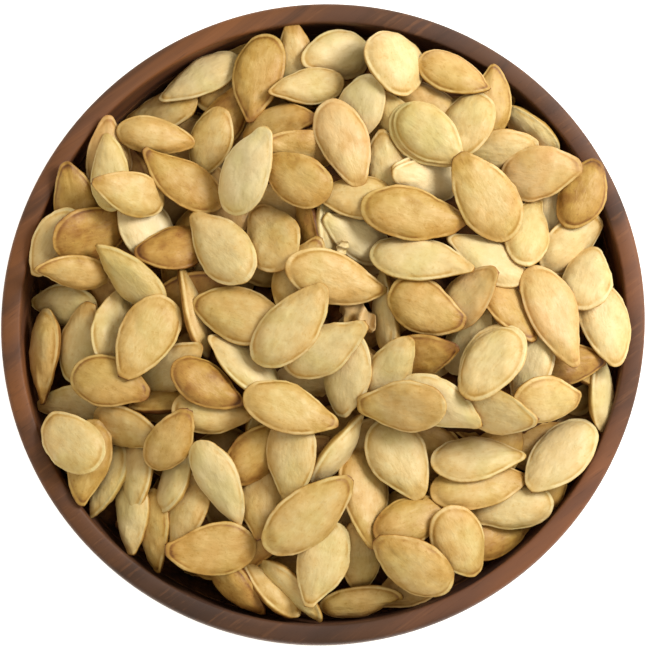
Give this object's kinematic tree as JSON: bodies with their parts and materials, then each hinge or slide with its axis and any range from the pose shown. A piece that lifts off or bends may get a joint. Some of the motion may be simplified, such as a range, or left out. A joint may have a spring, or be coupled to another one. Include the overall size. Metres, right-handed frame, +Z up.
{
  "type": "bowl of roasted seeds",
  "caption": "Round turned wooden bowl on a low foot, heaped a little over its rim with roasted pumpkin seeds in their shells.",
  "frame": {"origin": "middle of the bowl's foot, on the surface that it stands on", "axes": "+Z up out of the bowl, +Y towards the top of the picture, which looks down on it"},
  "size_m": [0.1252, 0.1248, 0.0618],
  "materials": {
    "bowl_wood": "satin",
    "seed_shell": "matte"
  },
  "bodies": {
    "root": {"bowl": "bowl_wood", "seeds": "seed_shell"}
  },
  "joints": []
}
